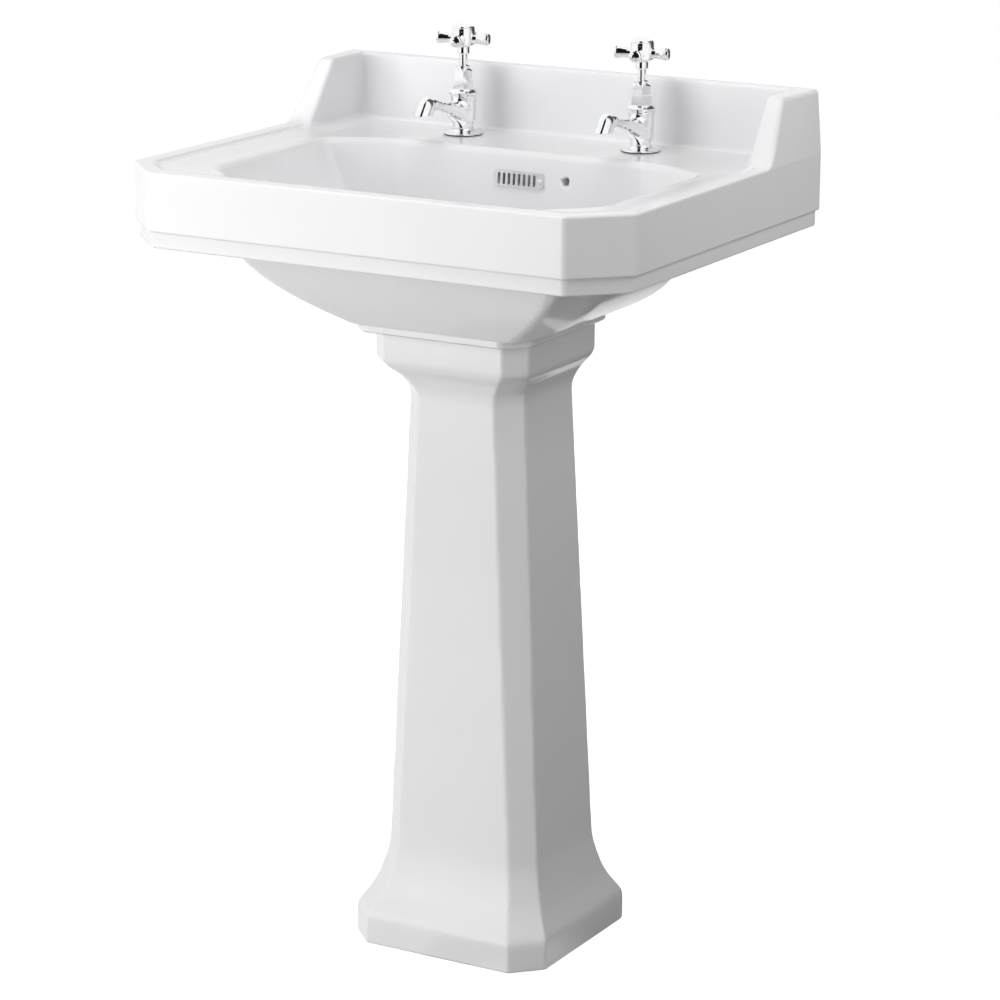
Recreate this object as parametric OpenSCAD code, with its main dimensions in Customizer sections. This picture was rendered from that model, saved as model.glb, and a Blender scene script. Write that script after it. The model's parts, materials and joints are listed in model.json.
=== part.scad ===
// Two-tap-hole basin with an upstand, on a full pedestal, with pillar taps, a waste and a bottle trap.
// Millimetres. The floor is z = 0, the wall is y = basin_d / 2 and the front faces -Y.

/* [Basin] */
// Overall width of the basin
basin_w = 560; // [550:1:590]
// Overall depth, from the wall to the front edge
basin_d = 450; // [446:1:466]
// Height of the raised rim above the floor
rim_z = 824; // [816:1:832]
// Height of the upstand above the rim
upstand_h = 63.5; // [45:0.5:75]
// Thickness of the back wall of the upstand
upstand_t = 15; // [12:0.5:18]
// Height of the tall outer face under the rim
face_h = 59; // [57:0.5:61]
// Height of the plinth band under the tall face
plinth_h = 16.5; // [14:0.5:18]
// How far the plinth band is set in from the tall face
plinth_inset = 4.5; // [3:0.5:7]
// Size of the two chamfered front corners
corner_chamfer = 50; // [44:1:56]
// Width of the raised lip round the rim
lip_w = 18; // [14:0.5:22]
// Height of the lip above the ledge inside it
lip_h = 6.5; // [4:0.5:8]
// Thickness of the ledge that carries the taps
ledge_t = 15.5; // [13:0.5:18]
// Half the width of the bowl's opening
bowl_half_w = 217; // [212:1:220]
// Height of the bowl's floor above the top of the pedestal
bowl_floor_h = 28; // [27:0.5:30]

/* [Pedestal] */
// Height of the pedestal
pedestal_h = 654; // [650:1:658]
// Half the width of the collar at the top
collar_half_w = 88; // [84:1:92]
// Height of the collar
collar_h = 35.5; // [30:0.5:40]
// Half the width of the foot
foot_half_w = 113.4; // [110:0.2:118]
// Height of the foot's upright edge
foot_h = 34; // [28:1:38]
// Thickness of the pedestal's wall
wall_t = 12; // [10:0.5:13]

/* [Taps] */
// Distance between the two taps
tap_spacing = 208; // [200:1:216]
// Distance of the tap holes from the wall
tap_from_wall = 57; // [55:0.5:60]
// Diameter of the tap holes in the ledge
tap_hole_d = 28; // [26:0.5:30]
// Outer diameter of the half-inch threaded tap tails
tail_d = 20.96; // [20.6:0.01:21]
// How far the spout's mouth reaches in front of the tap's axis
spout_reach = 81; // [78:1:85]
// Turn of the cross handles from square to the basin, in degrees
handle_turn = 12; // [0:1:45]

/* [Waste] */
// Distance of the waste from the wall
waste_from_wall = 193; // [190:1:195]
// Outer diameter of the threaded waste body
waste_d = 41.9; // [41:0.1:42.2]
// Diameter of the waste pipe that the trap's outlet takes
pipe_d = 34.7; // [34:0.1:35]

/* [Hidden] */
$fn = 48;

// A slice of a hull is this thick
slice = 0.02;
// Cuts run this far past the faces they open
past = 1;

// Main planes
wall_y = basin_d / 2;
front_y = -basin_d / 2;
half_w = basin_w / 2;
top_z = rim_z + upstand_h;
ledge_z = rim_z - lip_h;
under_ledge_z = ledge_z - ledge_t;
step_z = rim_z - face_h;
plinth_z = step_z - plinth_h;

// The upstand narrows to the top, and its wings slope forward and down to the rim
upstand_draft = 7;
wing_t = 21;
wing_foot_y = wall_y - 119;
wing_top_y = wall_y - 75;

// Underside of the bowl, between the pad on the pedestal and the plinth: half width, front and
// back at its foot and its top, how fast each swells, and the half width of its flat front face
pad_h = 6;
pad_z = pedestal_h;
belly_z = pad_z + pad_h;
belly_low = [99, -72, 128];
belly_high = [202, -151, 132];
belly_swell = [2.28, 1.6, 1.93];
belly_face = [88, 182];

// Inside of the bowl: its opening, how its walls lean in, and the radius of its lower corners
bowl_top_z = ledge_z + past;
bowl_floor_z = pedestal_h + bowl_floor_h;
bowl_front_y = front_y + 47;
bowl_back_y = wall_y - 120;
bowl_lean = [0.42, 0.5, 0.1];
bowl_radius = [66, 90, 25];
bowl_wall_t = 14;
skirt_t = 14;

// Waste and overflow
waste_y = wall_y - waste_from_wall;
waste_r = waste_d / 2;
waste_hole_r = 23;
waste_recess_r = 33.5;
waste_boss_r = 37;
waste_boss_h = 14;
overflow_z = ledge_z - 29;
overflow_w = 58;
overflow_h = 16.5;
overflow_slots = 8;
overflow_pitch = 5.85;
duct_y = wall_y - 112;
duct_t = 10;
chain_x = 53;
chain_z = ledge_z - 27.5;
chain_r = 4.4;
wall_hole_x = 140;
wall_hole_z = plinth_z + 24;
wall_hole_r = 7;

// Pedestal plan at its main levels: half width, front, back and chamfer
collar = [collar_half_w, wall_y - 277.5, wall_y - 116, 20];
neck = [66.4, wall_y - 249.7, wall_y - 125, 23.5];
shin = [89.2, wall_y - 254.3, wall_y - 108.5, 21.6];
foot = [foot_half_w, wall_y - 287.5, wall_y - 86, 29];
neck_z = pedestal_h - collar_h - 30;
shin_z = foot_h + 54;
floor_hole_x = 82;
floor_hole_y = wall_y - 108;
floor_hole_r = 4.5;

// Taps
tap_y = wall_y - tap_from_wall;
hot_x = -tap_spacing / 2;
cold_x = tap_spacing / 2;
tail_r = tail_d / 2;
tail_l = 54;
mouth_z = 29.8;
hub_z = 99.5;
arm_rise = 14.5;

// Trap, with the waste tail's end inside its neck
trap_z = 569;
tail_end_z = 595;
pipe_r = pipe_d / 2;

// Growth from 0 to 1 that starts steep and ends level
function swell(t, p) = 1 - pow(1 - t, p);

// Value at height z on a line between two levels
function between(z, z0, z1, v0, v1) = v0 + (v1 - v0) * (z - z0) / (z1 - z0);

// How far a rounded lower corner of radius r stands in at height h
function corner(h, r) = h < r ? r - sqrt(r * r - (r - h) * (r - h)) : 0;

// Rounds the corners of a convex outline
function rounded(p, r, n = 3) = [
    for (i = [0 : len(p) - 1])
        let (b = p[i],
             a = p[(i + len(p) - 1) % len(p)],
             c = p[(i + 1) % len(p)],
             u = (a - b) / norm(a - b),
             v = (c - b) / norm(c - b),
             half = acos(u * v) / 2,
             m = b + (u + v) / norm(u + v) * r / sin(half),
             s = b + u * r / tan(half) - m,
             e = b + v * r / tan(half) - m)
        for (k = [0 : n])
            let (q = s * (n - k) / n + e * k / n) m + q / norm(q) * r
];

// Plan of an octagon with its own chamfers at the front and the back, each [across, along]
function plan(w, front, back, cf, cb, r) = rounded([
    [cf[0] - w, front], [w - cf[0], front], [w, front + cf[1]], [w, back - cb[1]],
    [w - cb[0], back], [cb[0] - w, back], [-w, back - cb[1]], [-w, front + cf[1]]
], r);

// Plan of the outer walls of the basin, set in by d
function outer_plan(d) = let (c = corner_chamfer - 0.586 * d)
    plan(half_w - d, front_y + d, wall_y, [c, c], [2, 2], 2 / (1 + d));

function belly_plan(z) = let (
    t = (z - belly_z) / (plinth_z - belly_z),
    side = [for (i = [0 : 2]) belly_low[i] + (belly_high[i] - belly_low[i]) * swell(t, belly_swell[i])],
    face = belly_face[0] + (belly_face[1] - belly_face[0]) * swell(t, belly_swell[1]),
    c = 23 + 41 * t)
    plan(side[0], side[1], side[2], [side[0] - face, 20 + 40 * t], [c, c], 6 + 8 * t);

// Plan of the bowl's inside at height z, or of its outside when the wall t is added
function bowl_plan(z, t = 0) = let (
    d = bowl_top_z - z,
    h = z - bowl_floor_z,
    w = bowl_half_w - bowl_lean[0] * d - corner(h, bowl_radius[0]) + t,
    front = bowl_front_y + bowl_lean[1] * d + corner(h, bowl_radius[1]) - t,
    back = bowl_back_y - bowl_lean[2] * d - corner(h, bowl_radius[2]) + t,
    k = w / bowl_half_w)
    plan(w, front, back, [52, 52] * k, [64, 32] * k, 16 * k);

function pedestal_plan(p, r = 3) = plan(p[0], p[1], p[2], [p[3], p[3]], [4, 4], r);

module slab(z, outline) {
    translate([0, 0, z]) linear_extrude(slice) polygon(outline);
}

// Walls that run straight from outline to outline up a list of [height, outline]
module stack(levels) {
    for (i = [1 : len(levels) - 1]) hull() {
        slab(levels[i - 1][0], levels[i - 1][1]);
        slab(levels[i][0] - slice, levels[i][1]);
    }
}

module prism(z0, z1, outline) {
    translate([0, 0, z0]) linear_extrude(z1 - z0) polygon(outline);
}

// A solid of revolution whose profile is a list of [radius, height]
module turned(profile) {
    rotate_extrude() polygon(profile);
}

module ring(r_in, r_out, z0, z1) {
    turned([[r_in, z0], [r_out, z0], [r_out, z1], [r_in, z1]]);
}

module hexagon(across_flats, z0, z1) {
    translate([0, 0, z0]) cylinder(h = z1 - z0, r = across_flats / sqrt(3), $fn = 6);
}

module at_waste() {
    translate([0, waste_y, 0]) children();
}

// ---- Basin ----

module skirt() {
    difference() {
        union() {
            prism(step_z, ledge_z, outer_plan(0));
            prism(ledge_z - past, rim_z, outer_plan(0));
            prism(plinth_z, step_z + past, outer_plan(plinth_inset));
        }
        // Ledge inside the lip, open to the back between the wings
        prism(ledge_z, rim_z + past, plan(half_w - lip_w, front_y + lip_w, wall_y + past,
            [corner_chamfer - 10, corner_chamfer - 10], [2, 2], 1));
        // Hollow behind the outer walls and under the ledge
        prism(plinth_z - past, under_ledge_z, plan(half_w - skirt_t, front_y + skirt_t, wall_y - upstand_t,
            [corner_chamfer - 8, corner_chamfer - 8], [2, 2], 1));
    }
}

// Section of the upstand across the basin, between x0 and its outer face
module upstand_section(x0) {
    polygon([[x0, ledge_z - past], [half_w, ledge_z - past], [half_w, rim_z],
        [half_w - upstand_draft, top_z], [x0 - (x0 > 0 ? 2 : 0), top_z]]);
}

module upstand_half() {
    // Back wall
    translate([0, wall_y, 0]) rotate([90, 0, 0]) linear_extrude(upstand_t) upstand_section(0);
    // Wing: the section, cut to the sloping outline seen from the side
    intersection() {
        translate([0, wall_y, 0]) rotate([90, 0, 0])
            linear_extrude(wall_y - wing_foot_y) upstand_section(half_w - upstand_draft - wing_t);
        rotate([90, 0, 90]) linear_extrude(half_w)
            polygon([[wing_foot_y, ledge_z - past], [wall_y, ledge_z - past], [wall_y, top_z],
                [wing_top_y, top_z], [wing_foot_y, rim_z]]);
    }
}

module belly() {
    hull() for (z = [belly_z : (plinth_z - belly_z) / 6 : plinth_z + slice]) slab(z, belly_plan(z));
    stack([[plinth_z - 4, bowl_plan(plinth_z, bowl_wall_t - 3)],
        [under_ledge_z + past, bowl_plan(under_ledge_z, bowl_wall_t)]]);
    prism(pad_z, belly_z + past, plan(102, wall_y - 299, wall_y - 111, [25, 25], [12, 12], 6));
    at_waste() translate([0, 0, pad_z - waste_boss_h])
        cylinder(h = waste_boss_h + pad_h + past, r = waste_boss_r);
    // Casing of the overflow duct, from the belly up to the ledge
    translate([-34, bowl_back_y + 3, plinth_z - 9]) cube([68, 25, under_ledge_z - plinth_z + 9.5]);
}

module bowl_hollow() {
    levels = [0, 2.5, 7, 14, 24, 38, 62, bowl_top_z - bowl_floor_z];
    hull() {
        for (h = levels) slab(bowl_floor_z + h, bowl_plan(bowl_floor_z + h));
        at_waste() translate([0, 0, bowl_floor_z - 1.2]) cylinder(h = slice, r = 34, $fn = 32);
    }
}

module overflow_duct() {
    // Inlet behind the grille, then down the back and forward to the waste
    translate([-24.5, duct_y - 20, overflow_z - 5.5]) cube([45.3, 20 + duct_t, 11]);
    translate([-22, duct_y, bowl_floor_z - 18]) cube([44, duct_t, overflow_z - bowl_floor_z + 20]);
    translate([-9, waste_y, bowl_floor_z - 18]) cube([18, duct_y + duct_t - waste_y, 8]);
}

module basin() {
    color("white") difference() {
        union() {
            skirt();
            upstand_half();
            mirror([1, 0, 0]) upstand_half();
            belly();
        }
        bowl_hollow();
        overflow_duct();
        at_waste() {
            translate([0, 0, pad_z - waste_boss_h - past]) cylinder(h = 60, r = waste_hole_r);
            translate([0, 0, bowl_floor_z - 4]) cylinder(h = 30, r = waste_recess_r);
        }
        for (x = [hot_x, cold_x])
            translate([x, tap_y, under_ledge_z - past]) cylinder(h = ledge_t + 2 * past, r = tap_hole_d / 2);
        for (x = [-wall_hole_x, wall_hole_x])
            translate([x, wall_y + past, wall_hole_z]) rotate([90, 0, 0])
                cylinder(h = upstand_t + 2 * past, r = wall_hole_r);
        translate([chain_x, wall_y - upstand_t - past, chain_z]) rotate([90, 0, 0])
            cylinder(h = 130, r = chain_r);
        // Hole for the grille's screw
        on_overflow() translate([overflow_w / 2 - 4, 0, -12]) cylinder(h = 14, r = 1.8);
    }
}

// ---- Pedestal ----

module pedestal_outside() {
    mid_cove = [neck[0] + 5, neck[1] - 5, neck[2] + 2, 22];
    mid_foot = [shin[0] + 14, shin[1] - 19, shin[2] + 13, 26];
    ankle = [shin[0] + 6, shin[1] - 8, shin[2] + 5.5, 23.5];
    prism(0, foot_h, pedestal_plan(foot));
    stack([
        [foot_h, pedestal_plan(foot)],
        [foot_h + 14, pedestal_plan(mid_foot)],
        [foot_h + 30, pedestal_plan(ankle)],
        [shin_z, pedestal_plan(shin)],
        [neck_z, pedestal_plan(neck)],
        [pedestal_h - collar_h - 12, pedestal_plan(mid_cove)],
        [pedestal_h - collar_h, pedestal_plan(collar)]
    ]);
    prism(pedestal_h - collar_h, pedestal_h, pedestal_plan(collar));
}

module pedestal_hollow() {
    t = wall_t;
    // Foot, shaft and collar, each inside its own wall
    prism(-past, foot_h - 6, plan(foot[0] - t - 3, foot[1] + t + 3, foot[2] - t, [22, 22], [2, 2], 1.5));
    stack([[foot_h - 6 - past, plan(shin[0] - t, shin[1] + t, shin[2] - t, [16, 16], [2, 2], 1.5)],
        [neck_z + 24, plan(neck[0] - t, neck[1] + t, neck[2] - t, [16, 16], [2, 2], 1.5)]]);
    prism(neck_z + 23, pedestal_h + past, plan(collar[0] - t - 4, collar[1] + t + 4, collar[2] - t,
        [14, 14], [2, 2], 1.5));
    // Slot up the back, wider at the foot
    translate([0, foot[2] + past, 0]) rotate([90, 0, 0]) linear_extrude(foot[2] - neck[2] + t + 20)
        polygon([[-62, -past], [62, -past], [40, pedestal_h + past], [-40, pedestal_h + past]]);
}

module floor_lug() {
    difference() {
        translate([floor_hole_x - 16, floor_hole_y - 16, 0]) cube([foot[0] - floor_hole_x + 8, 30, 11]);
        translate([floor_hole_x, floor_hole_y, -past]) cylinder(h = 20, r = floor_hole_r);
    }
}

module pedestal() {
    color("white") {
        difference() {
            pedestal_outside();
            pedestal_hollow();
        }
        floor_lug();
        mirror([1, 0, 0]) floor_lug();
    }
}

// ---- Overflow and waste ----

overflow_tilt = -atan(bowl_lean[2]);
overflow_y = bowl_back_y - bowl_lean[2] * (bowl_top_z - overflow_z);

// Puts a part that is drawn flat at the origin, facing up, onto the bowl's back wall
module on_overflow() {
    translate([0, overflow_y, overflow_z]) rotate([90 + overflow_tilt, 0, 0]) children();
}

module overflow_grille() {
    color("silver") on_overflow() difference() {
        translate([0, 0, 0.1]) linear_extrude(1.8)
            polygon(rounded([[-overflow_w / 2, -overflow_h / 2], [overflow_w / 2, -overflow_h / 2],
                [overflow_w / 2, overflow_h / 2], [-overflow_w / 2, overflow_h / 2]], 3.5, 4));
        for (i = [0 : overflow_slots - 1])
            translate([(i - 4) * overflow_pitch + 1, 0, 0]) for (y = [-4.5, 4.5]) {
                translate([0, y, -past]) cylinder(h = 4, r = 1.5);
                translate([-1.5, -4.5, -past]) cube([3, 9, 4]);
            }
        translate([overflow_w / 2 - 4, 0, -past]) cylinder(h = 4, r = 1.8);
    }
}

module overflow_screw() {
    color("silver") on_overflow() translate([overflow_w / 2 - 4, 0, 0]) difference() {
        turned([[0, -9], [1.5, -9], [1.5, 2], [2.9, 2], [2.5, 3], [0, 3.3]]);
        translate([-0.4, -4, 2.6]) cube([0.8, 8, 2]);
    }
}

module waste_body() {
    z = bowl_floor_z;
    color("silver") at_waste() difference() {
        union() {
            turned([[17, tail_end_z], [waste_r, tail_end_z], [waste_r, z - 2], [32, z - 2], [32, z - 0.6],
                [30.5, z + 0.6], [23, z - 0.4], [19, z - 3.5], [17, z - 6]]);
            // Bridge that holds the cartridge
            for (a = [0, 60, 120])
                rotate([0, 0, a]) translate([-18, -1.5, pad_z - 16]) cube([36, 3, 5]);
            ring(6.5, 9, pad_z - 18, pad_z - 8);
        }
        translate([0, 0, pad_z - 20]) cylinder(h = 14, r = 6.5);
        // Slots that let the overflow in
        for (a = [0, 90]) rotate([0, 0, a]) translate([-30, -6, pad_z + 7]) cube([60, 12, 12]);
    }
}

module waste_top_seal() {
    color("dimgray") at_waste() ring(waste_r + 0.2, 31, bowl_floor_z - 4, bowl_floor_z - 2);
}

module waste_bottom_seal() {
    z = pad_z - waste_boss_h;
    color("dimgray") at_waste()
        turned([[waste_r + 0.1, z - 4], [33, z - 4], [33, z], [waste_r + 0.1, z]]);
}

module waste_backnut() {
    z = pad_z - waste_boss_h - 4;
    color("goldenrod") at_waste() difference() {
        hexagon(54, z - 9, z);
        translate([0, 0, z - 10]) cylinder(h = 11, r = waste_r + 0.05);
    }
}

module waste_plug() {
    z = bowl_floor_z;
    color("silver") at_waste()
        turned([[0, pad_z - 30], [2.8, pad_z - 30], [2.8, z + 1.2], [24, z + 1.2], [26.5, z + 2.4],
            [26.8, z + 3.6], [22, z + 5.3], [12, z + 6.6], [0, z + 7]]);
}

module waste_plug_seal() {
    z = bowl_floor_z;
    color("dimgray") at_waste()
        turned([[2.9, z - 3.1], [19.2, z - 3.1], [22.6, z - 0.55], [22.6, z + 1.2], [2.9, z + 1.2]]);
}

module waste_cartridge() {
    color("whitesmoke") at_waste()
        turned([[2.85, pad_z - 32], [5, pad_z - 32], [6.45, pad_z - 24], [6.45, pad_z - 8],
            [7.5, pad_z - 8], [7.5, pad_z - 4], [2.85, pad_z - 4]]);
}

// ---- Trap, about the waste's axis ----

neck_top_z = tail_end_z + 11;
head_z = tail_end_z - 5;
head_low_z = head_z - 54;
trap_foot_z = 484;
outlet_y0 = 34;
outlet_y1 = 60;

module trap_inlet_seal() {
    color("dimgray") at_waste() ring(waste_r + 0.1, 25, neck_top_z, neck_top_z + 3);
}

module trap_inlet_nut() {
    color("whitesmoke") at_waste() difference() {
        union() {
            ring(20, 28.5, head_z + 3, neck_top_z + 6);
            for (a = [0 : 30 : 330])
                rotate([0, 0, a]) translate([26, -2, head_z + 3]) cube([4.5, 4, 14]);
        }
        translate([0, 0, head_z]) cylinder(h = neck_top_z + 3 - head_z, r = 25.1);
        translate([0, 0, head_z]) cylinder(h = 40, r = waste_r + 0.4);
    }
}

module trap_body() {
    color("whitesmoke") at_waste() difference() {
        union() {
            translate([0, 0, head_low_z]) cylinder(h = head_z - head_low_z, r = 30);
            translate([0, 0, head_z - past]) cylinder(h = neck_top_z - head_z + past, r = 25);
            translate([0, 0, trap_foot_z + 14]) cylinder(h = head_z - trap_foot_z - 20, r = 17);
            translate([0, 20, trap_z]) rotate([-90, 0, 0]) cylinder(h = outlet_y1 - 20, r = 22);
        }
        // Neck that takes the waste's tail, then the dip tube below it
        translate([0, 0, head_z - 4]) cylinder(h = 30, r = waste_r + 0.25);
        translate([0, 0, trap_foot_z]) cylinder(h = 120, r = 15);
        // Space round the dip tube
        ring(17, 27, head_low_z - past, head_z - 7);
        // Way out, and the socket that takes the waste pipe
        translate([0, 22, trap_z]) rotate([-90, 0, 0]) cylinder(h = 60, r = 14.5);
        translate([0, outlet_y0, trap_z]) rotate([-90, 0, 0]) cylinder(h = 60, r = pipe_r + 0.15);
    }
    // Wall of the dip tube across the way out
    color("whitesmoke") at_waste() ring(15, 17, head_low_z, head_z - 6);
}

module trap_cup_seal() {
    color("dimgray") at_waste() ring(26.9, 30, head_low_z - 3, head_low_z);
}

module trap_cup() {
    z = head_low_z;
    color("whitesmoke") at_waste()
        turned([[0, trap_foot_z], [16, trap_foot_z], [27, trap_foot_z + 5], [29.5, trap_foot_z + 14],
            [29.5, z - 8], [33.5, z - 6], [33.5, z + 8], [30.1, z + 8], [30.1, z - 3], [26.9, z - 3],
            [26.5, trap_foot_z + 14], [24, trap_foot_z + 8], [14, trap_foot_z + 3], [0, trap_foot_z + 3]]);
}

// Puts a part that is turned about Z onto the trap's outlet, with its base at distance d from the waste
module on_outlet(d) {
    translate([0, waste_y + d, trap_z]) rotate([-90, 0, 0]) children();
}

module trap_outlet_seal() {
    color("dimgray") on_outlet(outlet_y1) ring(pipe_r + 0.25, 22, 0, 3);
}

module trap_outlet_nut() {
    color("whitesmoke") on_outlet(outlet_y1 - 16) difference() {
        union() {
            ring(10, 25, 0, 23);
            for (a = [0 : 30 : 330]) rotate([0, 0, a]) translate([23, -2, 0]) cube([4, 4, 17]);
        }
        translate([0, 0, -past]) cylinder(h = 20, r = 22.1);
        translate([0, 0, -past]) cylinder(h = 40, r = pipe_r + 0.4);
    }
}

// ---- Pillar tap: every part is drawn about the tap's axis, with the ledge's top at z = 0 ----

// Valve seat, chamber and thread sizes shared by the parts inside the tap
seat_z = 20;
chamber_r = 10.2;
washer_h = 3.5;
barrel_h = 40.1;
bonnet_z = 41;
hex_z = 47.5;
hex_top_z = 57.5;
thread_r = 6.5;
stem_r = 4.15;
fit = 0.05;

// Axis of the spout's rising arm, as a way up from the tap's axis
module on_arm() {
    translate([0, 0, 22.5]) rotate([90 - arm_rise, 0, 0]) children();
}

// Axis of the nozzle, which leans back from the middle of its mouth
module on_nozzle() {
    translate([0, -spout_reach, mouth_z]) rotate([-35, 0, 0]) children();
}

module tap_body() {
    arm_l = (spout_reach - 10.8) / cos(arm_rise);
    difference() {
        union() {
            // Flange, waist and barrel
            turned([[0, 1], [20.8, 1], [20.8, 2.2], [19, 3.4], [13, 5], [11.2, 6.5], [10.2, 9], [10.3, 12],
                [12.5, 15.4], [13.4, 38], [13.4, bonnet_z - 0.15], [0, bonnet_z - 0.15]]);
            // Threaded tail, with a thread relief below the backnut
            turned([[0, -tail_l], [tail_r, -tail_l], [tail_r, -ledge_t - 11.5],
                [tail_r - 0.6, -ledge_t - 11.5], [tail_r - 0.6, -ledge_t - 10.3],
                [tail_r, -ledge_t - 10.3], [tail_r, 2], [0, 2]]);
            // Arm of the spout, waisted in the middle, and the web under it
            on_arm() turned([[0, 2], [9.4, 2], [8.3, 16], [6.7, 30], [5.5, 40], [5.2, 48], [5.5, 54],
                [6.2, arm_l - 11], [6.4, arm_l - 7], [4.5, arm_l - 2], [0, arm_l]]);
            translate([0, 0, 12]) rotate([90 - 32, 0, 0]) cylinder(h = 30, r1 = 9.4, r2 = 3.5);
            // Bell of the nozzle, cut level at its mouth
            difference() {
                on_nozzle() turned([[0, -8], [9.6, -8], [9.3, 0], [8.9, 8], [8, 13], [6, 17],
                    [3, 19.5], [0, 20.4]]);
                translate([-20, -spout_reach - 20, mouth_z - 20]) cube([40, 40, 20]);
            }
        }
        // Supply bore, seat and valve chamber
        translate([0, 0, -tail_l - past]) cylinder(h = tail_l + seat_z - 4, r = 7);
        translate([0, 0, 10]) cylinder(h = 30, r = 6);
        turned([[0, seat_z - 2], [8.2, seat_z - 2], [8.2, seat_z], [chamber_r, seat_z],
            [chamber_r, barrel_h], [12.7, barrel_h], [12.7, bonnet_z + past], [0, bonnet_z + past]]);
        // Way along the arm, round the bend and out of the nozzle
        on_arm() translate([0, 0, 6]) cylinder(h = arm_l - 6.5, r = 3.5);
        translate([0, 9 - spout_reach, mouth_z + 9.5]) sphere(r = 4.8);
        on_nozzle() translate([0, 0, -12]) cylinder(h = 21, r = 7.4);
    }
    // Raised seat that the valve washer closes
    ring(6, 7.4, seat_z - 4, seat_z - fit);
}

module base_seal() {
    ring(tail_r + 0.2, 19.5, 0, 1);
}

module back_washer() {
    turned([[tail_r + 0.2, -ledge_t - 2.5], [17.5, -ledge_t - 2.5], [17.5, -ledge_t],
        [tap_hole_d / 2 - 0.3, -ledge_t], [tap_hole_d / 2 - 0.3, -ledge_t + 5],
        [tail_r + 0.2, -ledge_t + 5]]);
}

module backnut() {
    difference() {
        hexagon(31, -ledge_t - 10, -ledge_t - 2.5);
        translate([0, 0, -ledge_t - 11]) cylinder(h = 10, r = tail_r + 0.05);
    }
}

module bonnet_washer() {
    ring(chamber_r + 0.3, 12.4, barrel_h, bonnet_z);
}

module bonnet() {
    neck_top = hex_top_z + 6.5;
    difference() {
        union() {
            turned([[0, 32], [chamber_r - fit, 32], [chamber_r - fit, bonnet_z], [13.8, bonnet_z],
                [15.2, bonnet_z + 1.6], [15.2, bonnet_z + 3.4], [13.2, bonnet_z + 5.2], [12.4, hex_z],
                [0, hex_z]]);
            hexagon(20.4, hex_z - past, hex_top_z);
            translate([0, 0, hex_top_z - past]) cylinder(h = neck_top - hex_top_z + past, r = 7.6);
        }
        // Threaded bore for the spindle, plain bore above it and the stuffing box
        translate([0, 0, 31]) cylinder(h = 21, r = thread_r + fit);
        translate([0, 0, 40]) cylinder(h = 40, r = stem_r + fit);
        translate([0, 0, hex_top_z - 3]) cylinder(h = 20, r = 6.1);
    }
}

module gland_packing() {
    ring(stem_r + fit, 6.05, hex_top_z - 3, hex_top_z + 6.3);
}

module gland_nut() {
    z = hex_top_z;
    difference() {
        union() {
            intersection() {
                hexagon(18.2, z, z + 11);
                turned([[0, z], [10.5, z], [10.5, z + 8.6], [8, z + 11], [0, z + 11]]);
            }
            turned([[0, z + 9], [6.8, z + 9], [6.6, z + 11.6], [7.4, z + 12.2], [7.4, z + 14.2],
                [6.4, z + 15], [0, z + 15]]);
        }
        translate([0, 0, z - past]) cylinder(h = past + 6.7, r = 7.65);
        translate([0, 0, z]) cylinder(h = 30, r = stem_r + fit);
    }
}

module jumper() {
    z = seat_z + washer_h;
    turned([[0, seat_z - 4], [1.9, seat_z - 4], [1.9, z], [8.7, z], [8.7, z + 1.8], [7, z + 2.5],
        [2.9, z + 2.5], [2.9, z + 13], [0, z + 13]]);
}

module valve_washer() {
    ring(1.95, 9.1, seat_z, seat_z + washer_h);
}

module washer_nut() {
    difference() {
        hexagon(7, seat_z - 2.6, seat_z);
        translate([0, 0, seat_z - 4]) cylinder(h = 6, r = 1.95);
    }
}

module spindle() {
    z = seat_z + washer_h + 2.6;
    difference() {
        turned([[0, z], [5.6, z], [thread_r, z + 1], [thread_r, 44], [stem_r, 45], [stem_r, hub_z - 16.4],
            [3.9, hub_z - 16], [3.9, hub_z + 3.6], [0, hub_z + 3.6]]);
        // Socket for the jumper's stem, and the threaded hole for the handle's screw
        translate([0, 0, z - past]) cylinder(h = 13, r = 3);
        translate([0, 0, hub_z - 8]) cylinder(h = 20, r = 1.8);
    }
}

module handle() {
    rotate([0, 0, handle_turn]) difference() {
        union() {
            // Collar and hub
            turned([[0, hub_z - 15.6], [6, hub_z - 15.6], [6.5, hub_z - 14.8], [6.5, hub_z - 8.6],
                [7.4, hub_z - 7.4], [10.8, hub_z - 6.8], [12, hub_z - 5.2], [12.2, hub_z + 4],
                [12.2, hub_z + 10.6], [11.8, hub_z + 11.2], [0, hub_z + 11.2]]);
            // Four flared arms with domed ends
            for (a = [0 : 90 : 270])
                rotate([0, 0, a]) translate([0, 0, hub_z]) rotate([0, 90, 0])
                    turned([[0, 8], [5.6, 8], [5.4, 12], [5.3, 15], [5.7, 19.5], [6.3, 24], [6.4, 25.2],
                        [5.9, 25.8], [6.4, 26.4], [6.1, 27.6], [4.9, 28.5], [2.6, 29.1], [0, 29.3]]);
        }
        translate([0, 0, hub_z - 17]) cylinder(h = 21, r = 3.95);
        translate([0, 0, hub_z]) cylinder(h = 20, r = 2);
        turned([[0, hub_z + 6], [4, hub_z + 6], [4, hub_z + 8.5], [9, hub_z + 8.5], [9, hub_z + 20],
            [0, hub_z + 20]]);
    }
}

module handle_screw() {
    difference() {
        turned([[0, hub_z - 7], [1.7, hub_z - 7], [1.7, hub_z + 6], [3.7, hub_z + 6], [3.7, hub_z + 7.6],
            [3, hub_z + 8.3], [0, hub_z + 8.3]]);
        translate([-0.5, -5, hub_z + 7.3]) cube([1, 10, 3]);
    }
}

module cap() {
    turned([[0, hub_z + 9], [8.9, hub_z + 9], [8.9, hub_z + 11.2], [11.8, hub_z + 11.2], [12, hub_z + 11.8],
        [11, hub_z + 13.2], [8.4, hub_z + 14.6], [5, hub_z + 15.5], [0, hub_z + 15.9]]);
}

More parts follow.
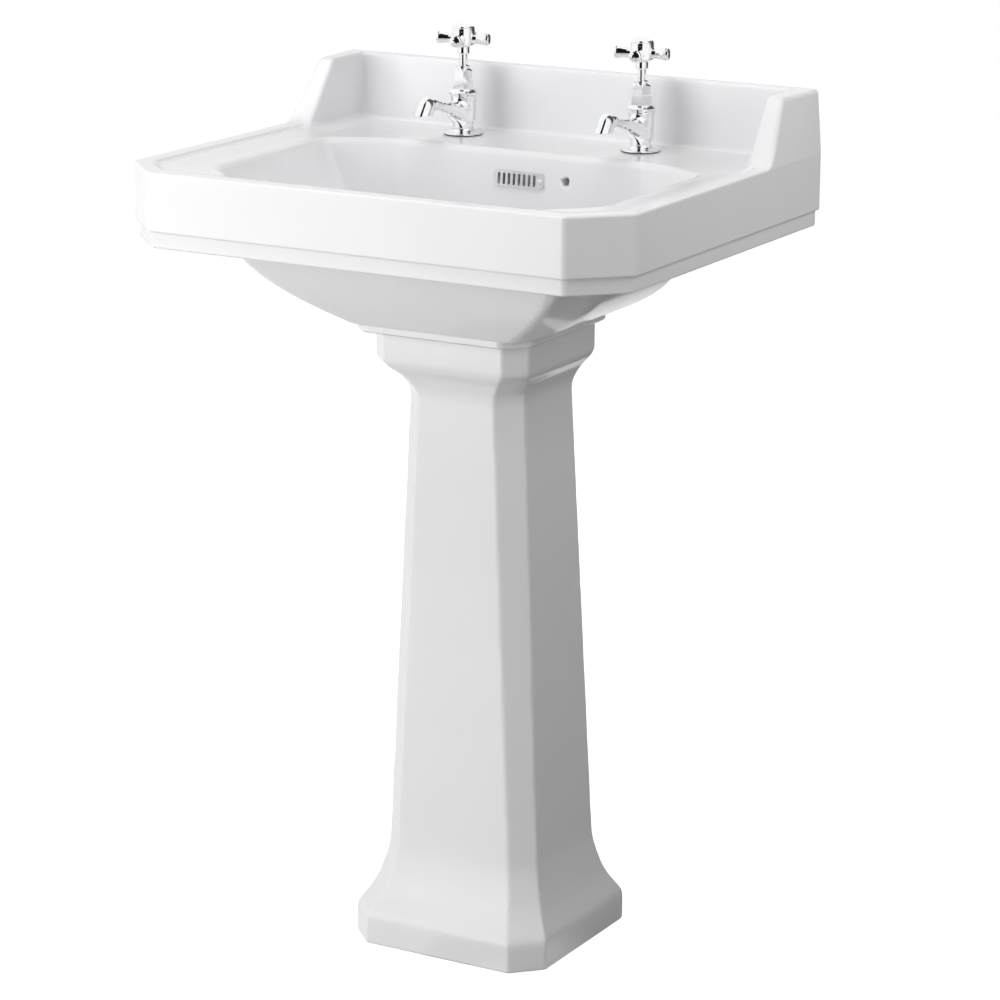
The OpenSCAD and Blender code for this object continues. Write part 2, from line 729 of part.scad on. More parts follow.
// One piece of a tap, by name
module tap_piece(piece) {
    if (piece == "tap_body") color("silver") tap_body();
    if (piece == "base_seal") color("dimgray") base_seal();
    if (piece == "back_washer") color("whitesmoke") back_washer();
    if (piece == "backnut") color("goldenrod") backnut();
    if (piece == "bonnet_washer") color("firebrick") bonnet_washer();
    if (piece == "bonnet") color("silver") bonnet();
    if (piece == "gland_packing") color("ivory") gland_packing();
    if (piece == "gland_nut") color("silver") gland_nut();
    if (piece == "jumper") color("goldenrod") jumper();
    if (piece == "valve_washer") color("dimgray") valve_washer();
    if (piece == "washer_nut") color("goldenrod") washer_nut();
    if (piece == "spindle") color("silver") spindle();
    if (piece == "handle") color("silver") handle();
    if (piece == "handle_screw") color("goldenrod") handle_screw();
    if (piece == "cap") color("silver") cap();
}

module on_ledge(x) {
    translate([x, tap_y, ledge_z]) children();
}

basin();
pedestal();
overflow_grille();
overflow_screw();
waste_body();
waste_top_seal();
waste_bottom_seal();
waste_backnut();
waste_plug();
waste_plug_seal();
waste_cartridge();
trap_inlet_seal();
trap_inlet_nut();
trap_body();
trap_cup_seal();
trap_cup();
trap_outlet_seal();
trap_outlet_nut();
for (piece = [
    "tap_body", "base_seal", "back_washer", "backnut", "bonnet_washer", "bonnet", "gland_packing",
    "gland_nut", "jumper", "valve_washer", "washer_nut", "spindle", "handle", "handle_screw", "cap"
]) {
    on_ledge(hot_x) tap_piece(piece);
    on_ledge(cold_x) tap_piece(piece);
}
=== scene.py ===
import json
import math

import bpy
import numpy as np
from mathutils import Matrix, Vector


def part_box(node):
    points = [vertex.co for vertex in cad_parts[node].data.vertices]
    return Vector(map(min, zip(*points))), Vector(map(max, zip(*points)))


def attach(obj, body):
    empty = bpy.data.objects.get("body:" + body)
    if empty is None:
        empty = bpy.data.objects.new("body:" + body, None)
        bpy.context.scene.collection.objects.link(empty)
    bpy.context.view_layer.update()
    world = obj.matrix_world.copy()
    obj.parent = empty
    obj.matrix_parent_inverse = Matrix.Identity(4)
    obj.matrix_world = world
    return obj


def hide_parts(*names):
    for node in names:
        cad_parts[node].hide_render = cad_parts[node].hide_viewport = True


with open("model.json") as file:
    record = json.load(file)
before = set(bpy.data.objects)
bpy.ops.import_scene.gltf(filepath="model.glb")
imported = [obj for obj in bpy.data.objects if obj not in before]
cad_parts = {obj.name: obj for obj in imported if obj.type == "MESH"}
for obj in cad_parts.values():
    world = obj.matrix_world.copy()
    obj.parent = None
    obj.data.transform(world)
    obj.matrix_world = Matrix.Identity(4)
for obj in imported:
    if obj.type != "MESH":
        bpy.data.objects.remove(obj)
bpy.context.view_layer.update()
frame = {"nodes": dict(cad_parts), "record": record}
MM = 0.001


# ---- Sizes, in millimetres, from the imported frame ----


def mm_box(node):
    lo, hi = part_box(node)
    return [c / MM for c in lo], [c / MM for c in hi]


BASIN_LO, BASIN_HI = mm_box("basin")
HALF_W = BASIN_HI[0]
FRONT_Y, WALL_Y = BASIN_LO[1], BASIN_HI[1]
TOP_Z = BASIN_HI[2]
PAD_Z = mm_box("pedestal")[1][2]
RIM_Z = TOP_Z - 63.5
LEDGE_Z = RIM_Z - 6.5
UNDER_LEDGE_Z = LEDGE_Z - 15.5
STEP_Z = RIM_Z - 59
PLINTH_Z = STEP_Z - 16.5
BELLY_Z = PAD_Z + 6
BOWL_FLOOR_Z = PAD_Z + 28
BOWL_TOP_Z = LEDGE_Z + 1
WASTE_Y = WALL_Y - 193
TAP_Y = WALL_Y - 57
TAP_X = 104
TAP_HOLE_R = 14
WASTE_HOLE_R, WASTE_RECESS_R = 23, 33.5
# The chain hole, the middle of the overflow and the wall bolts, down from the ledge or up from the plinth
CHAIN_X, CHAIN_DROP, CHAIN_HOLE_R = 53, 27.5, 4.4
OVERFLOW_DROP = 29
OVERFLOW_SCREW_X, OVERFLOW_SCREW_R = 25, 1.8
BOLT_X, BOLT_RISE, BOLT_HOLE_R = 140, 24, 7
# The floor screws, in from the wall, and the ceramic's thickness in the pedestal
SCREW_X, SCREW_IN, SCREW_HOLE_R = 82, 108, 4.5
PEDESTAL_WALL = 13
# A tap: its threaded tail, its spout's reach, and the height of the spout's mouth over the ledge
TAIL_L, SPOUT_REACH, MOUTH_Z = 54, 81, 29.8


# ---- Signed distances: negative inside, millimetres ----


def rmax(a, b, r):
    """Intersection whose edge is rounded to radius r."""
    u, v = np.maximum(a + r, 0), np.maximum(b + r, 0)
    return np.minimum(np.maximum(a, b), -r) + np.sqrt(u * u + v * v)


def rmin(a, b, r):
    """Union whose corner is filled to radius r."""
    return -rmax(-a, -b, r)


def smooth(z, z0, z1):
    """0 at z0 and 1 at z1, with a soft start and end."""
    t = np.clip((z - z0) / (z1 - z0), 0, 1)
    return t * t * (3 - 2 * t)


def octagon(x, y, w, front, back, cf, cb, r):
    """A plan: half width w, front and back, front chamfer cf and back chamfer cb, each [across, along]."""
    ax = np.abs(x)
    d = ax - w
    for (across, along), edge, way in ((cf, front, -1), (cb, back, 1)):
        n = np.sqrt(np.square(across) + np.square(along))
        cut = ((ax - (w - across)) * along + way * (y - edge) * across) / n
        d = rmax(d, cut, r)
        d = rmax(d, way * (y - edge), r)
    return d


def cylinder(x, y, z, r, z0, z1, e=0.5):
    """A cylinder along z, with edges rounded to e."""
    return rmax(rmax(np.hypot(x, y) - r, z0 - z, e), z - z1, e)


def block(x, y, z, lo, hi, e=1.0):
    """A box from corner lo to corner hi, with edges rounded to e."""
    d = rmax(lo[0] - x, x - hi[0], e)
    for a, l, h in ((y, lo[1], hi[1]), (z, lo[2], hi[2])):
        d = rmax(rmax(d, l - a, e), a - h, e)
    return d


def swell(t, p):
    """0 to 1 as t goes from 0 to 1, fast at first; the higher p, the fuller the curve."""
    return 1 - np.power(np.clip(1 - t, 0, 2), p)


def bowl_inside(x, y, z):
    """The space in the bowl."""
    d = BOWL_TOP_Z - z
    k = (217 - 0.42 * d) / 217
    lateral = octagon(
        x, y, 217 - 0.42 * d, FRONT_Y + 47 + 0.5 * d, WALL_Y - 120 - 0.1 * d,
        (52 * k, 52 * k), (64 * k, 32 * k), 6,
    )
    # The lower corners are broad at the front and the sides and tighter at the back
    xs, ys = x / 200, (y + 36) / 140
    n = np.sqrt(xs * xs + ys * ys) + 1e-6
    side, fore = np.square(xs / n), np.square(np.minimum(ys, 0) / n)
    aft = np.square(np.maximum(ys, 0) / n)
    r = 66 * side + 90 * fore + 25 * aft
    fall = 3 * np.clip(np.hypot(x, y - WASTE_Y) / 150, 0, 1)
    return rmax(lateral, BOWL_FLOOR_Z - 1.2 + fall - z, r)


def belly(x, y, z):
    """The bowl's outside, which swells from the pad to the plinth."""
    t = np.clip((z - BELLY_Z) / (PLINTH_Z - BELLY_Z), 0, 1)
    w = 99 + 103 * swell(t, 2.28)
    face = 88 + 94 * swell(t, 1.6)
    front = -72 - 79 * swell(t, 1.6)
    back = 128 + 4 * swell(t, 1.93)
    c = 23 + 41 * t
    slope = np.sqrt(1 + np.square(1.6 * (1 - t)))
    d = octagon(x, y, w, front, back, (w - face, 20 + 40 * t), (c, c), 4 + 4 * t) / slope
    return rmax(rmax(d, BELLY_Z - z, 3), z - PLINTH_Z - 4, 2)


def basin(x, y, z):
    ax = np.abs(x)
    lean = (5 + 5.5 * smooth(WALL_Y - y, 0, 90)) * np.clip((z - RIM_Z) / (TOP_Z - RIM_Z), 0, 1)
    # Top surfaces: ledge, lip round it, then the upstand with its wings
    inner = octagon(x, y, HALF_W - 18, FRONT_Y + 18, WALL_Y + 60, (40, 40), (2, 2), 6)
    lip = rmax(z - RIM_Z, -inner, 3)
    top = rmin(z - LEDGE_Z - 3.2 * smooth(inner, -38, -4), lip, 3)
    along = np.hypot(44, 63.5)
    slope = (-(y - WALL_Y + 119) * 63.5 + (z - RIM_Z) * 44) / along
    wing = rmax(253.5 - 0.03 * (z - LEDGE_Z) - ax, slope, 4.5)
    upstand = rmax(rmin(wing, WALL_Y - 15 - y, 5), z - TOP_Z, 4)
    top = rmin(top, upstand, 4 + 3 * smooth(WALL_Y - 92 - y, 0, 18))
    outer = octagon(x, y, HALF_W - lean, FRONT_Y, WALL_Y, (50, 50), (2, 2), 2.2)
    edge = 2.6 + 2.4 * smooth(z, RIM_Z + 2, RIM_Z + 20)
    upper = rmax(rmax(top, outer, edge), STEP_Z - z, 2)
    plinth = octagon(x, y, HALF_W - 4.5, FRONT_Y + 4.5, WALL_Y, (47.4, 47.4), (2, 2), 2.2)
    plinth = rmax(rmax(plinth, PLINTH_Z - z, 2.2), z - STEP_Z - 5, 1)
    body = rmin(upper, plinth, 1.6)
    # Hollow behind the outer walls and under the ledge
    under = octagon(x, y, HALF_W - 14, FRONT_Y + 14, WALL_Y - 15, (42, 42), (2, 2), 2)
    body = rmax(body, -rmax(under, z - UNDER_LEDGE_Z, 6), 2)
    # Bowl
    w = bowl_inside(x, y, z)
    shell = rmax(rmax(w - 12, z - UNDER_LEDGE_Z - 6, 2), PLINTH_Z - 8 - z, 2)
    bowl = rmin(belly(x, y, z), shell, 6)
    pad = octagon(x, y, 102, WALL_Y - 299, WALL_Y - 111, (25, 25), (12, 12), 3)
    bowl = rmin(bowl, rmax(rmax(pad, PAD_Z - z, 1.6), z - BELLY_Z - 4, 1), 1.2)
    casing = block(x, y, z, (-34, 105, PLINTH_Z - 9), (34, 133, UNDER_LEDGE_Z + 3), 3)
    bowl = rmin(bowl, casing, 4)
    boss = cylinder(x, y - WASTE_Y, z, 37, PAD_Z - 14, PAD_Z + 10, 2)
    body = rmin(body, rmin(bowl, boss, 3), 6)
    body = np.minimum(body, cylinder(x - CHAIN_X, z - LEDGE_Z + CHAIN_DROP, y, 9, 104, 130, 1))
    body = rmax(body, -w, 6.5)
    # Waste, overflow, tap, chain and wall holes
    body = rmax(body, -cylinder(x, y - WASTE_Y, z, WASTE_RECESS_R, BOWL_FLOOR_Z - 4, BOWL_FLOOR_Z + 60), 1.5)
    body = rmax(body, -cylinder(x, y - WASTE_Y, z, WASTE_HOLE_R, PAD_Z - 60, BOWL_FLOOR_Z + 60), 1)
    oz = LEDGE_Z - OVERFLOW_DROP
    duct = block(x, y, z, (-24.5, 93, oz - 5.5), (20.8, 123, oz + 5.5), 1)
    duct = np.minimum(duct, block(x, y, z, (-22, 113, BOWL_FLOOR_Z - 18), (22, 123, oz + 2), 2))
    duct = np.minimum(duct, block(x, y, z, (-9, WASTE_Y, BOWL_FLOOR_Z - 18), (9, 123, BOWL_FLOOR_Z - 10), 2))
    body = rmax(body, -duct, 1)
    tap_hole = cylinder(ax - TAP_X, y - TAP_Y, z, TAP_HOLE_R, UNDER_LEDGE_Z - 40, LEDGE_Z + 40)
    body = rmax(body, -tap_hole, 1)
    bolt_hole = cylinder(ax - BOLT_X, z - PLINTH_Z - BOLT_RISE, y, BOLT_HOLE_R, WALL_Y - 40, WALL_Y + 40)
    body = rmax(body, -bolt_hole, 1)
    chain_hole = cylinder(x - CHAIN_X, z - LEDGE_Z + CHAIN_DROP, y, CHAIN_HOLE_R, 80, 150)
    body = rmax(body, -chain_hole, 1)
    return rmax(body, -cylinder(x - OVERFLOW_SCREW_X, z - oz, y, OVERFLOW_SCREW_R, 96, 112, 0.3), 0.4)


# How far the pedestal has widened into its collar and its foot, from 0 to 1, against height
COVE = [
    (575, 0), (581.5, 0), (588, 0.05), (594.6, 0.156), (600, 0.29), (605.5, 0.44),
    (610, 0.61), (614, 0.78), (618, 0.9), (621, 0.965), (624, 1), (640, 1),
]
FLARE = [
    (0, 1), (24, 1), (30, 0.99), (34, 0.94), (38, 0.84), (42.4, 0.73), (50, 0.54),
    (58, 0.39), (65, 0.28), (73, 0.19), (81, 0.12), (90, 0.05), (100, 0), (110, 0),
]


def curve(pairs, z, soft):
    """Smooths a broken line of (height, value) pairs and reads it at z."""
    grid = np.arange(pairs[0][0] - 20, pairs[-1][0] + 20, 0.5)
    line = np.interp(grid, [p[0] for p in pairs], [p[1] for p in pairs])
    k = np.exp(-0.5 * np.square(np.arange(-30, 31) * 0.5 / soft))
    line = np.convolve(np.pad(line, 30, mode="edge"), k / k.sum(), mode="valid")
    return np.interp(z, grid, line)


def pedestal_outside(x, y, z, t=0):
    """The pedestal's outer faces, moved in by t."""
    a = curve(COVE, z, 1.8)
    b = curve(FLARE, z, 1.8)
    s = np.clip((z - 72) / (588.5 - 72), 0, 1)
    w = 89.2 - 22.8 * s + 21.6 * a + 24.2 * b
    front = -29.3 + 4.6 * s - 27.8 * a - 33.2 * b
    back = 116.5 - 16.5 * s + 9 * a + 22.5 * b
    c = 21.6 + 1.9 * s - 3.5 * a + 7.4 * b
    d = octagon(x, y, w - t, front + t, back - t, (c, c), (4, 4), 1.3)
    steep = 1 + 0.5 * (smooth(z, 575, 590) - smooth(z, 620, 630) + smooth(z, 70, 60) - smooth(z, 35, 28))
    return d / steep


def pedestal(x, y, z):
    d = pedestal_outside(x, y, z)
    d = rmax(rmax(d, -z, 2), z - PAD_Z, 2)
    inner = pedestal_outside(x, y, z, PEDESTAL_WALL)
    slot = rmax(np.abs(x) - 62 + 22 * z / PAD_Z, 60 - y, 4)
    hollow = np.minimum(inner, slot)
    d = rmax(d, -hollow, 2)
    ax = np.abs(x)
    lug = block(ax, y, z, (66, WALL_Y - 124, 0), (104, WALL_Y - 94, 11), 1.5)
    d = rmin(d, lug, 1.5)
    return rmax(d, -cylinder(ax - SCREW_X, y - WALL_Y + SCREW_IN, z, SCREW_HOLE_R, -20, 40), 0.6)


def on_line(x, y, z, y0, z0, degrees):
    """Distance along and away from a line in the y-z plane that starts at (y0, z0) and rises forward."""
    c, s = math.cos(math.radians(degrees)), math.sin(math.radians(degrees))
    return (z - z0) * s - (y - y0) * c, np.hypot(x, (z - z0) * c + (y - y0) * s)


def tap_body(x, y, z):
    """A tap about its own axis, with the ledge's top at z = 0."""
    r = np.hypot(x, y)
    flange = rmax(rmax(r - 20.8, 1 - z, 0.5), z - 2.3 - 0.14 * (20.8 - r), 0.9)
    barrel = r - 10.2 - 2.3 * smooth(z, 10.5, 16.5) - 0.9 * np.clip((z - 16) / 22, 0, 1)
    barrel = rmax(rmax(barrel, 1.5 - z, 0.5), z - 41.1, 0.6)
    d = rmin(flange, barrel, 5)
    s, q = on_line(x, y, z, 0, 22.5, 14.5)
    arm = q - np.interp(s, [0, 16, 30, 40, 48, 56, 64, 72], [9.2, 8.3, 6.8, 5.6, 5.2, 5.5, 6.2, 6.4])
    arm = rmax(rmax(arm, -s, 1), s - 72, 5)
    s, q = on_line(x, y, z, 0, 12, 32)
    web = rmax(rmax(q - 9.4 + 0.197 * s, -s, 1), s - 30, 2)
    d = rmin(d, rmin(arm, web, 6), 5)
    # Bell of the nozzle, which leans back from the middle of its mouth
    b, h = y + SPOUT_REACH, z - MOUTH_Z
    c35, s35 = math.cos(math.radians(35)), math.sin(math.radians(35))
    t, q = b * s35 + h * c35, np.hypot(x, b * c35 - h * s35)
    wide = 8.9 + 0.055 * np.clip(8 - t, 0, 20)
    bell = (np.sqrt(np.square(q / wide) + np.square(np.maximum(t - 8, 0) / 12.4)) - 1) * wide
    d = rmin(d, rmax(bell, -h, 0.7), 2.2)
    d = rmax(d, -rmax(q - 7.6, t - 9, 3), 0.5)
    # Threaded tail, supply bore and valve chamber
    groove = smooth(z, -27.2, -26.8) - smooth(z, -26, -25.6)
    tail = rmax(rmax(r - 10.48 + 0.6 * groove, -TAIL_L - z, 0.8), z - 3, 0.5)
    d = rmin(d, tail, 0.5)
    bore = np.minimum(rmax(r - 7, z - 15, 0.3), rmax(r - 10.2, 20 - z, 0.3))
    return rmax(d, -np.minimum(bore, r - 6), 0.3)


# ---- Meshing ----


def spaced(*spans):
    """Grid lines: each span is (start, end, step)."""
    lines = []
    for a, b, step in spans:
        n = max(1, int(round((b - a) / step)))
        lines.append(np.linspace(a, b, n + 1)[:-1])
    return np.concatenate(lines + [[spans[-1][1]]])


def both_sides(*spans):
    right = spaced(*spans)
    return np.concatenate([-right[:0:-1], right])


def surface(f, xs, ys, zs):
    """A closed mesh of f's zero level: one vertex to a cell that it crosses, moved onto the surface."""
    grids = np.meshgrid(xs, ys, zs, indexing="ij")
    F = np.empty(grids[0].shape)
    for i in range(0, len(xs), 16):
        F[i : i + 16] = f(*[g[i : i + 16] for g in grids])
    inside = F < 0
    cells = tuple(n - 1 for n in F.shape)
    total = np.zeros(cells + (3,))
    count = np.zeros(cells)
    edges = []
    for axis in range(3):
        lo = tuple(slice(None, -1) if a == axis else slice(None) for a in range(3))
        hi = tuple(slice(1, None) if a == axis else slice(None) for a in range(3))
        crossing = inside[lo] != inside[hi]
        edges.append((crossing, inside[lo]))
        with np.errstate(divide="ignore", invalid="ignore"):
            t = np.where(crossing, F[lo] / (F[lo] - F[hi]), 0)
        p = np.stack([g[lo] + (g[hi] - g[lo]) * t for g in grids], -1) * crossing[..., None]
        others = [a for a in range(3) if a != axis]
        for first in (slice(None, -1), slice(1, None)):
            for second in (slice(None, -1), slice(1, None)):
                pick = [slice(None)] * 3
                pick[others[0]], pick[others[1]] = first, second
                total += p[tuple(pick)]
                count += crossing[tuple(pick)]
    used = count > 0
    index = np.full(cells, -1)
    index[used] = np.arange(used.sum())
    v = total[used] / count[used][:, None]
    quads = []
    for axis in range(3):
        crossing, low_inside = edges[axis]
        b, c = (axis + 1) % 3, (axis + 2) % 3
        where = np.argwhere(crossing)
        ok = (where[:, b] > 0) & (where[:, c] > 0)
        ok &= (where[:, b] < cells[b]) & (where[:, c] < cells[c])
        where = where[ok]
        corner = []
        for db, dc in ((-1, -1), (0, -1), (0, 0), (-1, 0)):
            q = where.copy()
            q[:, b] += db
            q[:, c] += dc
            corner.append(index[q[:, 0], q[:, 1], q[:, 2]])
        corner = np.stack(corner, 1)
        flip = ~low_inside[where[:, 0], where[:, 1], where[:, 2]]
        corner[flip] = corner[flip][:, ::-1]
        quads.append(corner)
    quads = np.concatenate(quads)
    step = min(np.diff(g).min() for g in (xs, ys, zs))

    def gradient(p):
        e = 0.02
        g = np.empty_like(p)
        for a in range(3):
            d = np.zeros(3)
            d[a] = e
            g[:, a] = (f(*(p + d).T) - f(*(p - d).T)) / (2 * e)
        return g

    for _ in range(4):
        g = gradient(v)
        move = -(f(*v.T) / np.maximum(np.square(g).sum(1), 1e-3))[:, None] * g
        far = np.linalg.norm(move, axis=1, keepdims=True)
        v = v + move * np.minimum(1, step / np.maximum(far, 1e-9))
    n = gradient(v)
    n /= np.maximum(np.linalg.norm(n, axis=1, keepdims=True), 1e-9)
    return v, n, quads


def piece(name, v, n, quads, body, node, material):
    """A smooth piece that stands for a node of the frame."""
    mesh = bpy.data.meshes.new(name)
    mesh.from_pydata((v * MM).tolist(), [], quads.tolist())
    mesh.validate()
    mesh.polygons.foreach_set("use_smooth", np.ones(len(mesh.polygons), bool))
    mesh.normals_split_custom_set_from_vertices(n.tolist())
    o = bpy.data.objects.new(name, mesh)
    bpy.context.scene.collection.objects.link(o)
    o.data.materials.append(material)
    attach(o, body)
    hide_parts(node)
    return o


# ---- Materials ----


def new_material(name):
    m = bpy.data.materials.new(name)
    m.use_nodes = True
    return m, m.node_tree.nodes, m.node_tree.links


def noise(nodes, links, scale, detail=2.0, rough=0.5, coords=None):
    t = nodes.new("ShaderNodeTexNoise")
    t.inputs["Scale"].default_value = scale
    t.inputs["Detail"].default_value = detail
    t.inputs["Roughness"].default_value = rough
    c = coords or nodes.new("ShaderNodeTexCoord")
    links.new(c.outputs["Object"], t.inputs["Vector"])
    return t


def remap(nodes, links, value, lo, hi, to_lo, to_hi):
    r = nodes.new("ShaderNodeMapRange")
    r.inputs["From Min"].default_value = lo
    r.inputs["From Max"].default_value = hi
    r.inputs["To Min"].default_value = to_lo
    r.inputs["To Max"].default_value = to_hi
    links.new(value, r.inputs["Value"])
    return r


def surface_material(name, colour, rough, metal=0.0, tint=0.02, bump=0.0, bump_scale=120, coat=0.0, scale=14):
    """A material with slow colour and roughness variation and a fine bump."""
    m, nodes, links = new_material(name)
    p = nodes["Principled BSDF"]
    p.inputs["Metallic"].default_value = metal
    p.inputs["Coat Weight"].default_value = coat
    p.inputs["Coat Roughness"].default_value = 0.03
    slow = noise(nodes, links, scale, 3)
    mix = nodes.new("ShaderNodeMix")
    mix.data_type = "RGBA"
    mix.inputs["A"].default_value = (*colour, 1)
    mix.inputs["B"].default_value = (*[max(0, c - tint) for c in colour], 1)
    share = remap(nodes, links, slow.outputs["Fac"], 0.35, 0.65, 0, 1)
    links.new(share.outputs["Result"], mix.inputs["Factor"])
    links.new(mix.outputs["Result"], p.inputs["Base Color"])
    patch = noise(nodes, links, scale * 4, 4)
    sheen = remap(nodes, links, patch.outputs["Fac"], 0.3, 0.7, rough * 0.8, rough * 1.3)
    links.new(sheen.outputs["Result"], p.inputs["Roughness"])
    if bump:
        fine = noise(nodes, links, bump_scale, 3)
        b = nodes.new("ShaderNodeBump")
        b.inputs["Strength"].default_value = bump
        b.inputs["Distance"].default_value = 0.001
        links.new(fine.outputs["Fac"], b.inputs["Height"])
        links.new(b.outputs["Normal"], p.inputs["Normal"])
    return m


GLAZE = surface_material("glaze", (0.83, 0.83, 0.84), 0.13, tint=0.012, bump=0.03, bump_scale=40)
CHROME = surface_material(
    "chrome_plate", (0.96, 0.96, 0.97), 0.035, metal=1, tint=0.03, bump=0.01, bump_scale=300,
)
BRASS = surface_material("raw_brass", (0.62, 0.46, 0.2), 0.28, metal=1, tint=0.12, bump=0.08, bump_scale=500)
RUBBER = surface_material("rubber", (0.025, 0.025, 0.026), 0.62, tint=0.008, bump=0.12, bump_scale=600)
NYLON = surface_material("nylon", (0.72, 0.71, 0.67), 0.45, tint=0.04, bump=0.05, bump_scale=400)
PLASTIC = surface_material("white_plastic", (0.78, 0.78, 0.77), 0.24, tint=0.03, bump=0.03, bump_scale=200)
FIBRE = surface_material("red_fibre", (0.32, 0.06, 0.04), 0.75, tint=0.06, bump=0.15, bump_scale=500)
BY_SLOT = {
    "glazed_white": GLAZE, "chrome": CHROME, "raw_brass": BRASS, "black_rubber": RUBBER,
    "white_nylon": NYLON, "white_plastic": PLASTIC, "red_fibre": FIBRE,
}
for sub in frame["record"]["subparts"]:
    o = frame["nodes"][sub["node"]]
    o.data.materials.clear()
    o.data.materials.append(BY_SLOT[sub["material_slot"]])


# ---- Ceramic pieces ----

xs = both_sides((0, 205, 5.4), (205, 225, 2.2), (225, 250, 3.2), (250, 283, 1.6))
ys = spaced(
    (FRONT_Y - 3, FRONT_Y + 24, 1.7), (FRONT_Y + 24, -172, 3.2), (-172, 92, 5.4), (92, 118, 2.2),
    (118, 196, 4.6), (196, WALL_Y + 3, 1.8),
)
zs = spaced(
    (PAD_Z - 17, PAD_Z - 3, 3), (PAD_Z - 3, PAD_Z + 12, 1.5), (PAD_Z + 12, PLINTH_Z - 4, 4.5),
    (PLINTH_Z - 4, STEP_Z + 5, 1.8), (STEP_Z + 5, UNDER_LEDGE_Z - 3, 4.8),
    (UNDER_LEDGE_Z - 3, RIM_Z + 7, 1.5), (RIM_Z + 7, TOP_Z - 8, 4), (TOP_Z - 8, TOP_Z + 3, 1.6),
)
v, n, quads = surface(basin, xs, ys, zs)
piece("glazed_basin", v, n, quads, "fixture", "basin", GLAZE)

xs = both_sides((0, 84, 4), (84, 116, 2.6))
ys = spaced((-66, -20, 2.6), (-20, 90, 4.4), (90, 142, 2.6))
zs = spaced(
    (-3, 8, 1.6), (8, 24, 3.2), (24, 68, 2), (68, 575, 7), (575, 630, 2), (630, 648, 3.6), (648, 657, 1.5),
)
v, n, quads = surface(pedestal, xs, ys, zs)
piece("glazed_pedestal", v, n, quads, "fixture", "pedestal", GLAZE)

xs = both_sides((0, 22, 1.1))
ys = spaced((-96, -64, 0.9), (-64, 23, 1.15))
zs = spaced((-56, -28, 2), (-28, -25, 0.5), (-25, 0, 2.4), (0, 6, 0.8), (6, 53, 1.05))
v, n, quads = surface(tap_body, xs, ys, zs)
for side, tap_x in (("hot", -TAP_X), ("cold", TAP_X)):
    piece(
        side + "_spout", v + np.array([tap_x, TAP_Y, LEDGE_Z]), n, quads, "fixture",
        side + "_tap_body", CHROME,
    )


# ---- Stage, light and camera ----


def card(name, centre, facing, width, height, material):
    """A flat rectangle that faces a point."""
    mesh = bpy.data.meshes.new(name)
    w, h = width / 2, height / 2
    mesh.from_pydata([(-w, -h, 0), (w, -h, 0), (w, h, 0), (-w, h, 0)], [], [(0, 1, 2, 3)])
    o = bpy.data.objects.new(name, mesh)
    bpy.context.scene.collection.objects.link(o)
    o.data.materials.append(material)
    o.location = centre
    o.rotation_mode = "QUATERNION"
    o.rotation_quaternion = (Vector(facing) - Vector(centre)).to_track_quat("Z", "Y")
    return o


def softbox(name, azimuth, elevation, distance, aim, width, height, power):
    """An area light; azimuth 0 is in front, 90 on the right as seen from the front."""
    light = bpy.data.lights.new(name, "AREA")
    light.shape = "RECTANGLE"
    light.size, light.size_y = width, height
    light.energy = power
    o = bpy.data.objects.new(name, light)
    bpy.context.scene.collection.objects.link(o)
    a, e = math.radians(azimuth), math.radians(elevation)
    out = Vector((math.sin(a) * math.cos(e), -math.cos(a) * math.cos(e), math.sin(e)))
    o.location = Vector(aim) + out * distance
    o.rotation_mode = "QUATERNION"
    o.rotation_quaternion = (-out).to_track_quat("-Z", "Y")
    o.visible_glossy = False
    return o


# Name, azimuth, elevation, distance, height aimed at, side and power of each soft light
LIGHTS = [
    ("key", -28, 2, 2.0, 0.75, 1.4, 31),
    ("side", 97, 20, 1.2, 0.85, 0.7, 5.4),
    ("top", -10, 70, 1.5, 0.8, 1.2, 13.5),
    ("back", 195, 12, 2.2, 0.6, 1.4, 16),
]
# Strength of the room's own light
ROOM = 0.23
# Azimuths of the dark part of the studio that bright metal mirrors
DARK_FROM, DARK_TO = -14, 33
DARK_TONE = 0.01
# Tone of the studio behind on the right, and the azimuths over which it comes in
BACK_TONE, BACK_FROM, BACK_TO = 0.08, 98, 126
# Half the width of the dark part's soft edges, in degrees
DARK_SOFT = 3
FLOOR_TONES = (0.41, 0.39)
FLOOR_GLOW = 0.9
# The camera: where it stands, in metres, its axes and its lens, in millimetres
CAMERA_AT = (1.7807, -3.0771, 1.4242)
CAMERA_RIGHT = (0.8694, 0.4941, 0.0052)
CAMERA_FORWARD = (-0.4762, 0.8407, -0.2578)
CAMERA_LENS = 130.73


def seen_by(rays, nodes, links, seen, unseen):
    """Mixes two shaders: the first for one kind of ray, such as the camera's, and the second for the rest."""
    path = nodes.new("ShaderNodeLightPath")
    mix = nodes.new("ShaderNodeMixShader")
    links.new(path.outputs[rays], mix.inputs["Fac"])
    links.new(unseen, mix.inputs[1])
    links.new(seen, mix.inputs[2])
    return mix.outputs["Shader"]


def maths(nodes, links, operation, a, b):
    """A maths node; a and b are sockets or numbers."""
    m = nodes.new("ShaderNodeMath")
    m.operation = operation
    for socket, value in zip(m.inputs, (a, b)):
        if isinstance(value, (int, float)):
            socket.default_value = value
        else:
            links.new(value, socket)
    return m.outputs["Value"]


